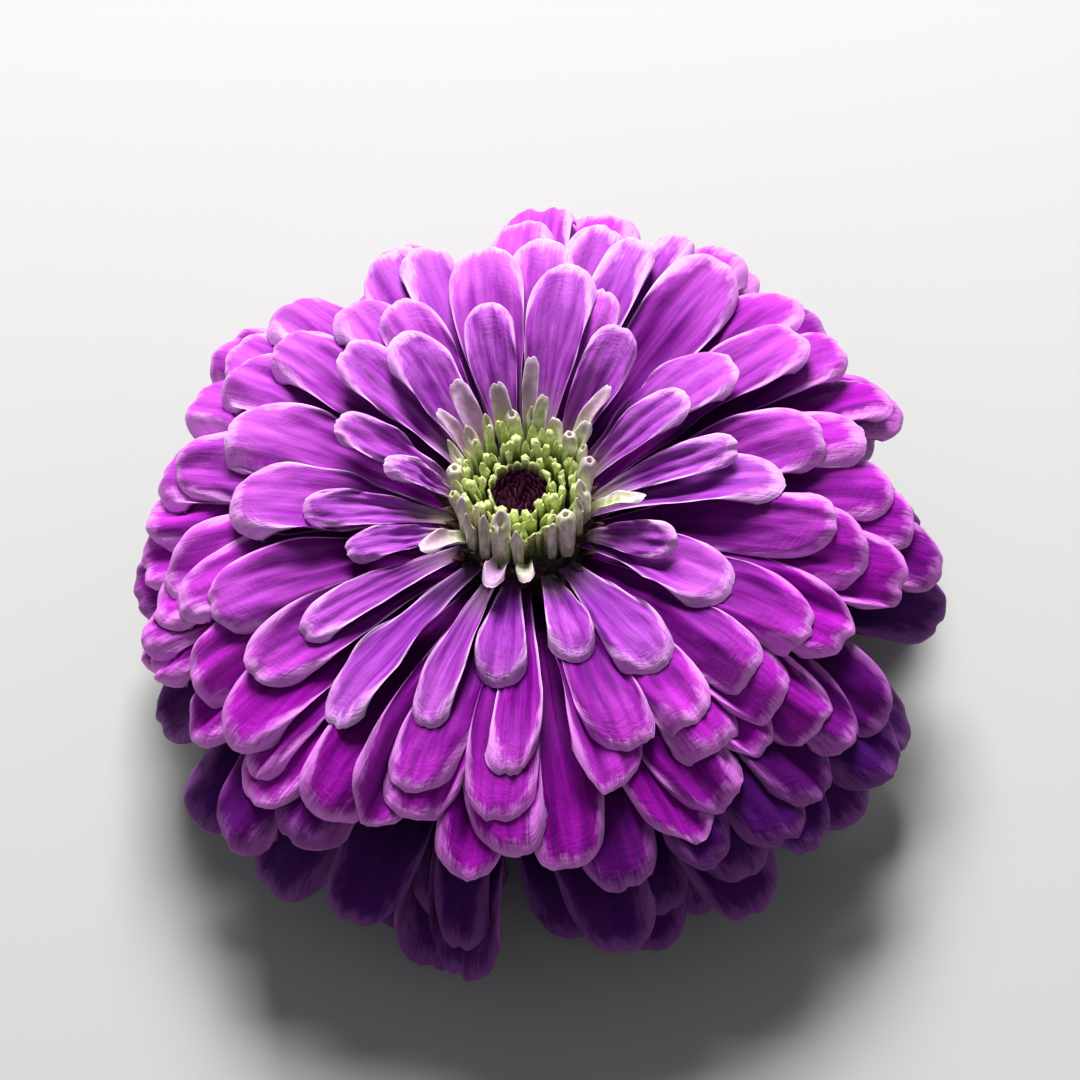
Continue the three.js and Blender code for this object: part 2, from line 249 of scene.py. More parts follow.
class Paint:
    """A material under construction: a Principled shader and what its colour is mixed from."""

    def __init__(self, name, roughness, **sockets):
        self.material = bpy.data.materials.new(name)
        self.material.use_nodes = True
        self.tree = self.material.node_tree
        self.shader = self.tree.nodes["Principled BSDF"]
        for key, value in {"Roughness": roughness, **sockets}.items():
            self.shader.inputs[key.replace("_", " ")].default_value = value

    def attribute(self, name):
        return Wire(add(self.tree, "ShaderNodeAttribute", attribute_name=name).outputs["Fac"])

    def object_place(self):
        return Wire(self.tree.nodes.new("ShaderNodeTexCoord").outputs["Object"])

    def mix(self, share, first, second):
        """first where share is 0, second where it is 1."""
        node = add(self.tree, "ShaderNodeMix", data_type="RGBA")
        for key, value in (("Factor_Float", share), ("A_Color", first), ("B_Color", second)):
            socket = next(s for s in node.inputs if s.identifier == key)
            if isinstance(value, Wire):
                self.tree.links.new(value.socket, socket)
            else:
                socket.default_value = value
        return Wire(next(s for s in node.outputs if s.identifier == "Result_Color"))

    def set(self, key, wire):
        self.tree.links.new(wire.socket, self.shader.inputs[key])

    def bump(self, height, strength, distance):
        settings = {"Height": height, "Strength": strength, "Distance": distance}
        self.set("Normal", node_wire(self.tree, "ShaderNodeBump", inputs=settings))


def flat_grid(tree, width, stations, lines):
    """A grid 1 long and as wide as given, and the place of each of its points, from its middle."""
    settings = {"Size X": 1.0, "Size Y": width, "Vertices X": stations, "Vertices Y": lines}
    grid = node_wire(tree, "GeometryNodeMeshGrid", inputs=settings)
    return grid, node_wire(tree, "GeometryNodeInputPosition")


def on_seats(tree, seats, grid):
    """One copy of the grid for each seat, made real."""
    settings = {"Points": seats, "Instance": grid}
    placed = node_wire(tree, "GeometryNodeInstanceOnPoints", inputs=settings)
    return node_wire(tree, "GeometryNodeRealizeInstances", placed)


def profile_curve(value, profile, column):
    """A value read off a smooth curve through the stations that have a number in this column."""
    points = [(station[0], station[column]) for station in profile if station[column] is not None]
    node = add(tree_of(value), "ShaderNodeFloatCurve", inputs={"Value": value})
    curve = node.mapping.curves[0]
    curve.points[0].location, curve.points[1].location = points[0], points[-1]
    for point in points[1:-1]:
        curve.points.new(*point)
    node.mapping.update()
    return Wire(node.outputs[0])


def stalk_tree(name, profile, ribs=(0, 0.0)):
    """Grows turned bodies, each of which stands on its foot and leans outwards.

    The profile's stations are places from 0 to 1 along the body, with the radius and the height there.
    Ribs are a count and a depth. Facing is how far the bodies lean to +Y for each unit of height.
    """
    unpainted = bpy.data.materials.new(name)
    tree, given = geometry_tree(name, Around=12, Stations=12, Facing=0.0, Material=unpainted)
    grid, place = flat_grid(tree, 1.0, given["Stations"], given["Around"])
    grid = store(grid, "along", part_of(place, 0) + 0.5)
    grid = store(grid, "turn", part_of(place, 1) + 0.5)
    body = on_seats(tree, given["Geometry"], grid)
    along, angle = read(tree, "along"), read(tree, "turn") * math.tau
    cosine, sine = calc("COSINE", angle), calc("SINE", angle)
    lobes = 1.0 + calc("COSINE", angle * float(ribs[0])) * ribs[1]
    girth = profile_curve(along, profile, 1) * read(tree, "radius") * lobes
    share = profile_curve(along, profile, 2)
    bend = read(tree, "bend") * share**2.0
    rise = share * read(tree, "height") + cosine * read(tree, "slant") * share**4.0
    upright = xyz(cosine * girth + bend, sine * girth, rise)
    leaning = turned(upright, (0.0, 1.0, 0.0), read(tree, "lean"))
    moved = leaning + xyz(read(tree, "out"), 0.0, read(tree, "foot"))
    place = turned(moved, (0.0, 0.0, 1.0), read(tree, "azimuth"))
    place = place + xyz(0.0, part_of(leaning, 2) * given["Facing"], 0.0)
    finish_tree(tree, body, place, given["Material"])
    return tree


stem_low, stem_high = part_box("stem")
stem_radius = stem_high.x * STEM_GIRTH
stem_height = stem_high.z - stem_low.z

stem_paint = Paint("stem_green", 0.5, Sheen_Weight=0.15)
stem_streaks = noise(stem_paint.object_place() * (1.0, 1.0, 0.12), 1600.0, 3.0)
stem_skin = stem_paint.mix(smooth(stem_streaks, 0.35, 0.7), srgb(104, 140, 62), srgb(142, 172, 92))
stem_cut = smooth(stem_paint.attribute("along"), 0.24, 0.3)
stem_paint.set("Base Color", stem_paint.mix(stem_cut, srgb(206, 214, 160), stem_skin))
stem_paint.bump(stem_streaks, 0.35, 0.3 * MM)

# From the middle of the hollow, out over the cut rim, up the ribbed side and in under the bracts.
stem_tree = stalk_tree(
    "stem_stub",
    [
        (0, 0, 0.55), (0.06, 0.3, 0.5), (0.14, 0.38, 0.02), (0.22, 0.86, 0), (0.27, 0.92, 0.01),
        (0.32, 0.94, 0.05), (0.8, 0.95, 0.8), (0.94, 1, 1), (1, 0, 1),
    ],
    ribs=(STEM_RIBS, RIB_DEPTH),
)
stem_seat = {"radius": [stem_radius], "height": [stem_height], "foot": [stem_low.z]}
grow("stem", stem_tree, stem_seat, stem_paint, "stem", ["stem"], Around=81, Stations=60)

chance = np.random.default_rng(11)
hair_paint = Paint("stem_hair", 0.6, Base_Color=srgb(214, 222, 190))
hair_tree = stalk_tree("stem_hair", [(0, 0, 0), (0.02, 1, None), (0.5, 0.6, None), (1, 0, 1)])
hair_seats = {
    "azimuth": chance.uniform(0, math.tau, STEM_HAIRS),
    "radius": np.full(STEM_HAIRS, HAIR_RADIUS),
    "height": chance.uniform(0.5, 1.1, STEM_HAIRS) * MM,
    "out": np.full(STEM_HAIRS, stem_radius * 0.9),
    "foot": chance.uniform(stem_low.z + 0.4 * MM, stem_high.z - 0.6 * MM, STEM_HAIRS),
    "lean": chance.uniform(1.2, 2.0, STEM_HAIRS),
    "bend": chance.uniform(-0.2, 0.2, STEM_HAIRS) * MM,
}
grow("stem_hairs", hair_tree, hair_seats, hair_paint, "stem", ["stem"], Around=5, Stations=5)

# ---------- involucre ----------
# The cup under the bloom: blunt green bracts in overlapping rows, grown on the underside of the
# receptacle and pressed against each other, each with a dark, papery, slightly frayed margin.

BRACT_ROWS = 3
BRACTS_PER_ROW = 11
BRACT_WIDTH = 5.6
CUP_BASE_Z = 7.0
CHANNEL_ANGLE = 3.0 * math.pi


def blade_tree(name):
    """Grows blades: thin leaves on an arched midrib, which lies in the plane of each seat's azimuth.

    Sizes are in millimetres up to the last step. along runs from 0 at the root to 1 at the tip, across
    from -1 to 1, and edge is the distance in from the margin. Claw is the width at the root against the
    widest, Blunt the roundness of the tip, Hem how far the side margins turn up, Fray how uneven the tip
    is, and Facing the lean to +Y for each unit of height above Bed. The seats say how each blade grows.
    """
    sizes = {"Rows": 34, "Columns": 15, "Thickness": 0.4, "Claw": 0.2, "Widest": 0.78, "Narrowing": 0.2}
    sizes |= {"Blunt": 1.0, "Groove": 0.0, "Hem": 0.0, "Fray": 0.0, "Facing": 0.0, "Bed": 0.0}
    tree, given = geometry_tree(name, **sizes, Material=bpy.data.materials.new(name))
    grid, place = flat_grid(tree, 2.0, given["Rows"], given["Columns"])
    station = part_of(place, 0) + 0.5
    grid = store(grid, "along", 1.0 - (1.0 - station) ** 1.6)
    grid = store(grid, "across", calc("SINE", part_of(place, 1) * (math.pi / 2)))
    back = node_wire(tree, "GeometryNodeFlipFaces", grid)
    both = joined(store(grid, "upper", 1.0), store(back, "upper", -1.0))
    blades = on_seats(tree, given["Geometry"], both)

    keys = ("along", "across", "upper", "phase", "width", "length")
    along, across, upper, phase, width, length = (read(tree, key) for key in keys)
    root, shoulder, tip = (read(tree, key, vector=True) for key in ("root", "shoulder", "tip"))

    # The outline. Each lengthwise line of the grid ends on the rounded tip with its shallow teeth.
    bulge = calc("SQRT", calc("MAXIMUM", 1.0 - across * across, 0.0))
    teeth = (calc("COSINE", across * 5.6 + (phase - 0.5) * 2.4) * 0.5 + 0.5) ** 4.0
    fray = (noise(xyz(across * 3.0, phase * 23.0, 0.0), 2.0, 2.0) - 0.5) * given["Fray"] / length
    rounding = (1.0 - bulge) * given["Blunt"] * 0.5 * width / length
    stop = 1.0 - rounding - read(tree, "notch") * teeth * bulge - fray
    reach = along * stop
    from_tip = (1.0 - along) * stop * length
    grown = calc("MINIMUM", reach / given["Widest"], 1.0)
    beyond = calc("MAXIMUM", (reach - given["Widest"]) / (1.0 - given["Widest"]), 0.0)
    outline = given["Claw"] + (1.0 - given["Claw"]) * grown**1.7 * (3.0 - 2.0 * grown) ** 0.6
    half = width * 0.5 * outline * (1.0 - given["Narrowing"] * beyond * beyond)

    # The midrib and the blade's own directions on it.
    rest = 1.0 - reach
    at = root * (rest * rest) + shoulder * (2.0 * rest * reach) + tip * (reach * reach)
    ahead = calc("NORMALIZE", (shoulder - root) * rest + (tip - shoulder) * reach)
    lean = -(read(tree, "roll") + read(tree, "twist") * along)
    side = turned((0.0, 1.0, 0.0), ahead, lean)
    up = calc("CROSS_PRODUCT", ahead, side)

    # How far its surface is lifted off the flat: cupped, bent down at the tip, waved at the margin,
    # channelled between its veins, and thinned out to nothing at every edge.
    flat_tip = calc("MINIMUM", (1.0 - along) * 4.0, 1.0)
    cupping = read(tree, "cup") * half * across * across * flat_tip
    curling = read(tree, "curl") * calc("MAXIMUM", (along - 0.72) / 0.28, 0.0) ** 2.0
    lip = read(tree, "lip") * calc("MAXIMUM", 1.0 - from_tip / (width * 0.27), 0.0) ** 2.0
    rim = calc("ABSOLUTE", across) ** 6.0
    wave = calc("SINE", along * 15.0 + phase * 19.0 + across * 1.3)
    waves = wave * rim * read(tree, "ruffle") * smooth(along, 0.15, 0.5) * flat_tip
    channels = calc("COSINE", across * CHANNEL_ANGLE) * given["Groove"]
    channels = channels * smooth(along, 0.1, 0.5) * flat_tip
    swelling = noise(xyz(along * 2.6, across * 1.1, phase * 31.0), 1.6, 1.0) - 0.5
    swell = swelling * read(tree, "swell") * smooth(along, 0.1, 0.4)
    creases = noise(xyz(along * 7.0, across * 5.0, phase * 47.0), 1.3, 2.0) - 0.5
    swell = swell + creases * read(tree, "swell") * 0.22 * smooth(along, 0.3, 0.8)
    margin = half * (1.0 - calc("ABSOLUTE", across))
    hem = calc("MAXIMUM", 1.0 - margin / 0.8, 0.0) ** 2.0 * given["Hem"]
    hem = hem * smooth(along, 0.05, 0.3) * flat_tip
    ends = calc("MINIMUM", from_tip * 2.0, 1.0) * calc("MINIMUM", along * 30.0, 1.0)
    body = given["Thickness"] * 0.5 * upper * (1.0 - rim) * ends
    lift = cupping + hem - curling - lip + waves + channels + swell + body
    sway = xyz(0.0, read(tree, "sway") * reach * reach, 0.0)
    moved = at + sway + side * (half * across) + up * lift
    around = turned(moved, (0.0, 0.0, 1.0), read(tree, "azimuth"))
    above_bed = calc("MAXIMUM", part_of(around, 2) - given["Bed"], 0.0)
    placed = around + xyz(0.0, above_bed * given["Facing"], 0.0)

    blades = store(blades, "edge", calc("MINIMUM", margin, from_tip))
    finish_tree(tree, blades, placed * MM, given["Material"])
    return tree


def blade_seats(rows):
    """One array for each attribute, from a list of seats that all name the same ones."""
    seats = {key: [row[key] for row in rows] for key in rows[0]}
    seats["length"] = [math.dist(row["root"], row["tip"]) for row in rows]
    for key in ("root", "shoulder", "tip"):
        seats[key] = [(row[key][0], 0, row[key][1]) for row in rows]
    return seats


def lerp(low, high, share):
    return low + (high - low) * share


def varied(**spans):
    """One random number in each of the named spans, drawn in the order given."""
    return {key: chance.uniform(low, high) for key, (low, high) in spans.items()}


def bract(row, i):
    share = row / (BRACT_ROWS - 1)
    seat = {
        "azimuth": (i + row % 2 / 2) * math.tau / BRACTS_PER_ROW + chance.uniform(-0.05, 0.05),
        "root": (lerp(3.4, 7, share), lerp(CUP_BASE_Z + 0.5, 8.6, share)),
        "shoulder": (lerp(9.3, 10.7, share), lerp(CUP_BASE_Z + 0.4, 10, share)),
        "tip": (lerp(10.2, 11.1, share), lerp(11, 16.2, share)),
        "width": BRACT_WIDTH * chance.uniform(0.94, 1.05),
        "cup": 0.14,
        "swell": 0.3,
        "level": share,
    }
    return seat | varied(curl=(0.2, 0.5), phase=(0, 1), chance=(0, 1))


bract_paint = Paint("bract_green", 0.55, Sheen_Weight=0.1)
bract_grain = noise(bract_paint.object_place(), 700.0, 4.0)
bract_skin = bract_paint.mix(smooth(bract_grain, 0.3, 0.7), srgb(84, 118, 48), srgb(122, 152, 74))
bract_rim = 1.0 - smooth(bract_paint.attribute("edge") + (bract_grain - 0.5) * 0.9, 0.15, 0.55)
bract_paint.set("Base Color", bract_paint.mix(bract_rim, bract_skin, srgb(52, 34, 34)))
bract_paint.bump(bract_grain, 0.4, 0.2 * MM)

blades = blade_tree("blade")
bract_seats = blade_seats([bract(row, i) for row in range(BRACT_ROWS) for i in range(BRACTS_PER_ROW)])
bract_sizes = {"Thickness": 0.8, "Claw": 0.85, "Widest": 0.45, "Blunt": 0.9, "Rows": 20, "Columns": 13}
grow("bracts", blades, bract_seats, bract_paint, "bract", ["involucre"], **bract_sizes)

cup_low, cup_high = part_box("involucre")
cup_tree = stalk_tree(
    "cup",
    [
        (0, 0, 0), (0.05, 0.38, 0.01), (0.15, 0.66, 0.16), (0.35, 0.84, 0.46), (0.6, 0.9, 0.75),
        (0.95, 0.9, 1), (1, 0, 1),
    ],
)
cup_seat = {"radius": [cup_high.x], "height": [cup_high.z - cup_low.z], "foot": [cup_low.z]}
grow("bract_cup", cup_tree, cup_seat, bract_paint, "bract", ["involucre"], Around=49, Stations=30)

# ---------- receptacle ----------
# The fleshy column in the middle, which every floret is rooted in. It is hidden but for its olive top
# between the tubes and the ray florets, and grew in one with them.

DISC_BED_Z = 34.0
RECEPTACLE_BASE_Z = 16.5
RECEPTACLE_TOP_Z = DISC_BED_Z + 0.9
RECEPTACLE_RADIUS = 11.5

column_paint = Paint("receptacle_olive", 0.7)
column_grain = noise(column_paint.object_place(), 900.0, 3.0)
column_skin = column_paint.mix(smooth(column_grain, 0.35, 0.65), srgb(30, 18, 24), srgb(74, 62, 38))
column_paint.set("Base Color", column_skin)
column_paint.bump(column_grain, 0.5, 0.4 * MM)

column_tree = stalk_tree(
    "receptacle",
    [
        (0, 0, 0), (0.04, 0.88, 0), (0.12, 0.94, 0.12), (0.45, 0.84, 0.5), (0.72, 0.68, 0.9),
        (0.82, 0.62, 0.98), (1, 0, 1),
    ],
)
column_seat = {
    "radius": [RECEPTACLE_RADIUS * MM],
    "height": [(RECEPTACLE_TOP_Z - RECEPTACLE_BASE_Z) * MM],
    "foot": [RECEPTACLE_BASE_Z * MM],
}
column_sizes = {"Around": 49, "Stations": 40}
grow("receptacle", column_tree, column_seat, column_paint, "petal", ["ray_florets"], **column_sizes)

# ---------- ray florets ----------
# The petals: soft magenta-purple blades on narrow claws, rooted in layers all over the column. They are
# thinnest and palest at their margins, veined along their length, and darker, partly as painted shade,
# in the lower layers and on the shaded side.

# The dome that the tips of the full-grown florets lie on, and the angles of the highest and the lowest
# tips from straight up, seen from its middle. The lower florets are numbered down a spiral.
BLOOM_RADIUS = 51.0
DOME_CENTRE_Z = 16.0
DOME_RISE = 29.0
UPPER_REACH = 49.7
UPPER_SKEW = 2.2
UPPER_DROOP = 1.0
LOWER_TAPER = 1.6
TIP_ANGLE = (37.0, 121.0)
SPIRAL = (52, 109)
GOLDEN_ANGLE = math.radians(137.508)
RESTING_RAY_COUNT = 9
PRESSED = 0.5

# How a floret grows with its level, from beside the disc to the lowest layer. The lower florets are
# given painted shade, darkest on the shaded side, and the margins are most waved on the crumpled side.
RAY_WIDTH = 9.8
CLAW_OUT = (7.4, 9)
CLAW_HEIGHT = (DISC_BED_Z - 1.2, RECEPTACLE_BASE_Z + 1)
BOW_DEGREES = (9, 27)
HALF_GROWN_LEVEL = 0.05
FULL_GROWN_LEVEL = 0.15
STACKED_LEVEL = 0.8
STACKED_SHARE = 0.42
SHADED_SIDE = math.radians(-70)
CRUMPLED_SIDE = math.radians(150)
RAY_ROWS = 38
RAY_COLUMNS = 27

# The half-grown florets round the disc: azimuth in degrees, how far out and how high the tip is, the
# width, and how lilac and pale-footed the floret still is, from 0 to 1.
INNER_RAYS = [
    (7, 30.5, 36, 7, 0.1), (13, 25.6, 39, 4.2, 0.75), (31, 22.2, 41, 5.2, 0.9),
    (36, 30, 38.5, 8.2, 0.2), (58, 23, 42, 5.8, 0.7), (79, 29.5, 41, 7.6, 0.55),
    (101, 23.6, 42, 6, 0.8), (125, 24.4, 41, 6.9, 0.8), (137, 28.4, 39, 6.6, 0.5),
    (156, 23.2, 39.5, 4.6, 0.4), (165, 15.8, 39.5, 3.3, 1), (182, 25, 37.5, 4.4, 0.8),
    (196, 20.6, 37, 3.9, 1), (211, 29.2, 35, 4.8, 0.3), (229, 33.4, 33, 6.1, 0.15),
    (247, 28.4, 34, 4.6, 0.35), (263, 21.8, 34.5, 6.1, 0.05), (291, 20.2, 36, 5.6, 0.45),
    (309, 25.4, 35, 7.3, 0.2), (337, 26.2, 35.5, 8, 0.05), (341, 18.6, 38, 4.4, 0.6),
]

# The full-grown florets of the upper layers: azimuth of the tip and its angle from straight up, seen
# from the middle of the dome, in degrees, and the width.
UPPER_RAYS = [
    (67, 33, 4.6), (121, 36, 7), (270, 39, 6), (100, 43, 9), (127, 43, 8), (86, 44, 8), (178, 44, 9),
    (291, 44, 9), (309, 46, 8.6), (16, 47, 8), (109, 48, 7.6), (161, 48, 9), (322, 48, 8.6),
    (252, 49, 8.6), (315, 49, 7.6), (70, 50, 6), (142, 50, 8), (197, 50, 8.6), (76, 52, 8),
    (246, 52, 8.6), (117, 53, 9.6), (267, 53, 9.6), (340, 54, 9.2), (355, 54, 9.4), (35, 55, 8.2),
    (303, 55, 9.2), (17, 57, 7.6), (262, 57, 8.4), (278, 57, 8.6), (297, 57, 8.4), (55, 58, 9.6),
    (149, 58, 8.6), (236, 58, 8.8), (324, 58, 8.4), (184, 59, 8.6), (203, 60, 9), (215, 60, 9.4),
    (222, 60, 5.5), (133, 61, 9), (65, 62, 5), (225, 64, 9), (285, 64, 9.2), (189, 65, 9.4),
    (299, 65, 8), (352, 65, 9.4), (34, 66, 8), (45, 66, 8.6), (145, 66, 8.6), (327, 66, 8.4),
    (210, 67, 8.4), (233, 67, 9.6), (5, 68, 9.4), (167, 68, 9.6), (318, 69, 9), (58, 70, 9),
    (176, 70, 9), (153, 72, 9.4), (198, 72, 7), (180, 73, 9.4), (193, 73, 8), (311, 73, 9),
    (334, 73, 9.4), (26, 76, 8.6),
]

# Smaller florets that lie on those of the upper layers, so that the margin below shows round them.
STACKED_RAYS = [
    (293, 39.5, 7.6), (309, 40, 7.2), (323, 42, 7.2), (251, 45, 7.6), (338, 46.5, 8), (356, 47, 8),
    (266, 47, 8), (212, 47, 8.2), (190, 58, 8), (168, 61, 8.2), (7, 62, 8),
]

SEQUENCE_FACTOR = 16807
SEQUENCE_LIMIT = 2147483647
sequence = 807000157


def draw(low, high):
    """The next number, from low to high, of the random sequence that the solid model is grown from."""
    global sequence
    sequence = sequence * SEQUENCE_FACTOR % SEQUENCE_LIMIT
    return low + (high - low) * sequence / SEQUENCE_LIMIT


def arched(root, tip, bow):
    """The shoulder of a midrib: a point past the middle of its chord, turned up about the root."""
    out, rise = (tip[0] - root[0]) * 0.55, (tip[1] - root[1]) * 0.55
    cosine, sine = math.cos(bow), math.sin(bow)
    return root[0] + out * cosine - rise * sine, root[1] + out * sine + rise * cosine


def ray_habit(azimuth, tip, width, level, fresh=0):
    """How one ray floret grows: level runs from 0 beside the disc to 1 in the lowest layer."""
    root = (lerp(*CLAW_OUT, level), lerp(*CLAW_HEIGHT, level))
    bow = math.radians(lerp(*BOW_DEGREES, math.sqrt(level)) + draw(-3, 3))
    seat = {"azimuth": azimuth, "width": width, "root": root, "tip": tip}
    seat["shoulder"] = arched(root, tip, bow)
    seat["roll"] = math.radians(draw(-14, 14))
    seat["sway"] = draw(-1.6, 1.6) * math.sqrt(level)
    seat["curl"] = lerp(0.5, 2.6, level) * draw(0.6, 1.3)
    seat["cup"] = lerp(0.3, 0.2, level) * draw(0.7, 1.2)
    seat["twist"] = math.radians(chance.uniform(-18, 18))
    seat["notch"] = chance.choice([0, 0.005, 0.009, 0.014])
    crumpled = max(0, math.cos(azimuth - CRUMPLED_SIDE)) ** 2
    seat["lip"] = chance.uniform(0.3, 1.1) * width / RAY_WIDTH * (1 + crumpled)
    seat["ruffle"] = chance.uniform(0.05, 0.5) * (1 + crumpled)
    seat["swell"] = lerp(1.0, 2.0, level) * (1 + 0.6 * crumpled)
    # Painted shade: to its age in the layers, each lower floret adds shade on the shaded side, which
    # darkens its colour.
    shaded = math.cos(azimuth - SHADED_SIDE) * math.sqrt(level)
    seat |= {"level": level, "fresh": fresh, "age": level + 0.42 * shaded}
    return seat | varied(phase=(0, 1), chance=(0, 1))


def dome_tip(azimuth, angle, reach, share):
    """The tip of a full-grown floret: share runs from 0 in the top layer to 1 in the lowest."""
    spread = math.sin(angle) ** (LOWER_TAPER if angle > math.pi / 2 else 1)
    rise = DOME_RISE / BLOOM_RADIUS * reach * math.cos(angle)
    skew = (1 - share) * (UPPER_SKEW * math.sin(azimuth) - UPPER_DROOP)
    return reach * spread, DOME_CENTRE_Z + rise + skew


def upper_ray(degrees, angle, width):
    azimuth = math.radians(degrees)
    share = max(0, (angle - TIP_ANGLE[0]) / (TIP_ANGLE[1] - TIP_ANGLE[0]))
    tip = dome_tip(azimuth, math.radians(angle), UPPER_REACH, share)
    return ray_habit(azimuth, tip, width, lerp(FULL_GROWN_LEVEL, 1, share))


def lower_ray(i):
    """Floret number i of the lower layers, counted down a spiral from the disc."""
    share = i / SPIRAL[1]
    azimuth = i * GOLDEN_ANGLE + draw(-0.09, 0.09)
    angle = math.radians(lerp(*TIP_ANGLE, share**0.95) + draw(-3, 3))
    reach = BLOOM_RADIUS * draw(0.94, 1.01)
    width = RAY_WIDTH * draw(0.92, 1.06)
    tip = dome_tip(azimuth, angle, reach, share)
    if i > SPIRAL[1] - RESTING_RAY_COUNT:
        tip = (tip[0], -PRESSED)
    return ray_habit(azimuth, tip, width, lerp(FULL_GROWN_LEVEL, 1, share))


def stacked(below):
    """A smaller floret that lies on another one, whose margin shows all round its tip."""
    share = chance.uniform(0.86, 0.95)
    tip = tuple(lerp(foot, end, share) for foot, end in zip(below["root"], below["tip"]))
    tip = (tip[0], tip[1] + chance.uniform(0.8, 1.6))
    bow = math.radians(lerp(*BOW_DEGREES, math.sqrt(below["level"])))
    seat = below | {"tip": tip, "shoulder": arched(below["root"], tip, bow)}
    seat["azimuth"] += math.radians(chance.uniform(-3.5, 3.5))
    seat["width"] *= chance.uniform(0.74, 0.9)
    seat["age"] -= 0.06
    return seat | varied(phase=(0, 1), chance=(0, 1), lip=(0.3, 0.9))


# Florets lie on each other without passing through. Seen from the middle of the dome, a point has an
# azimuth, a distance and an angle from upright; covered holds, for each cell of azimuth and distance,
# the greatest such angle that the florets laid so far come down to. They are laid in the order in which
# their midribs pass LAYING_DISTANCE. A press starts above the claw and eases off along the blade. On
# the surface that the bloom lies on, what is pressed flat stays RESTING_HEIGHT off it, in millimetres.
LAYING_DISTANCE = 26.0
AZIMUTH_CELLS = 720
DISTANCE_CELLS = 200
DISTANCE_CELL = 0.4 * MM
AIR = 0.12 * MM
CLAW_STATIONS = 4
EASE = 0.97
EASING_ROUNDS = 8
RESTING_HEIGHT = 0.08
RESTING_SKIN = 0.05
covered = np.zeros((AZIMUTH_CELLS, DISTANCE_CELLS))


def polar_angle(seat):
    """The angle from upright at which a midrib passes that distance, seen from the same middle."""
    for t in np.linspace(0, 1, 50):
        weights = ((1 - t) ** 2, 2 * t * (1 - t), t * t)
        points = (seat["root"], seat["shoulder"], seat["tip"])
        out = sum(w * p[0] for w, p in zip(weights, points))
        rise = sum(w * p[1] for w, p in zip(weights, points)) - DOME_CENTRE_Z
        if math.hypot(out, rise) > LAYING_DISTANCE:
            break
    return math.atan2(out, rise)


def polar(points):
    """Azimuth, distance and angle from upright of an array of points, seen from there too."""
    offset = points - np.array((0, 0, DOME_CENTRE_Z * MM))
    distance = np.linalg.norm(offset, axis=-1)
    return np.arctan2(offset[..., 1], offset[..., 0]), distance, np.arccos(offset[..., 2] / distance)


def cells(azimuth, distance):
    around = (azimuth / math.tau * AZIMUTH_CELLS).astype(int) % AZIMUTH_CELLS
    return around, (distance / DISTANCE_CELL).astype(int)


def finer(points, times=5):
    """An array of rows and columns of points with more points set in between, in both directions."""
    for axis in (0, 1):
        points = np.moveaxis(points, axis, 0)
        places = np.linspace(0, len(points) - 1, (len(points) - 1) * times + 1)
        low = np.minimum(places.astype(int), len(points) - 2)
        share = (places - low).reshape(-1, *[1] * (points.ndim - 1))
        points = np.moveaxis(points[low] * (1 - share) + points[low + 1] * share, 0, axis)
    return points


def settle(mesh):
    """Takes the florets from the top down and presses each one under those that it meets."""
    points = np.empty(len(mesh.vertices) * 3, np.float32)
    mesh.vertices.foreach_get("co", points)
    points = points.reshape(-1, 3).astype(float)
    keys = []
    for key in ("across", "along", "upper", "order"):
        values = np.empty(len(points), np.float32)
        mesh.attributes[key].data.foreach_get("value", values)
        keys.append(values.round(4))
    rows = np.lexsort(keys).reshape(-1, 2, RAY_ROWS, RAY_COLUMNS)
    for row in rows:
        azimuth, distance, angle = polar(points[row])
        above = covered[cells(azimuth, distance)]
        press = np.maximum(above + AIR / distance - angle, 0).max(axis=0)
        press[:CLAW_STATIONS] = 0
        for i in range(1, RAY_ROWS):
            press[i] = np.maximum(press[i], press[i - 1] * EASE)
        for _ in range(EASING_ROUNDS):
            padded = np.pad(press, 1, mode="edge")
            beside = (padded[1:-1, :-2] + padded[1:-1, 2:] + padded[:-2, 1:-1] + padded[2:, 1:-1]) / 4
            press = np.maximum(press, beside * EASE)
        angle = angle + press
        flat = distance * np.sin(angle)
        height = distance * np.cos(angle) + DOME_CENTRE_Z * MM
        points[row] = np.stack((flat * np.cos(azimuth), flat * np.sin(azimuth), height), axis=-1)
        spread = finer(points[row][0])
        azimuth, distance, angle = polar(spread)
        np.maximum.at(covered, cells(azimuth, distance), angle)

    # Nothing reaches through the surface that the bloom lies on: it is pressed flat there.
    upper = keys[2]
    points[:, 2] = np.maximum(points[:, 2], (RESTING_HEIGHT + RESTING_SKIN * upper) * MM)
    mesh.vertices.foreach_set("co", points.astype(np.float32).ravel())
    mesh.update()


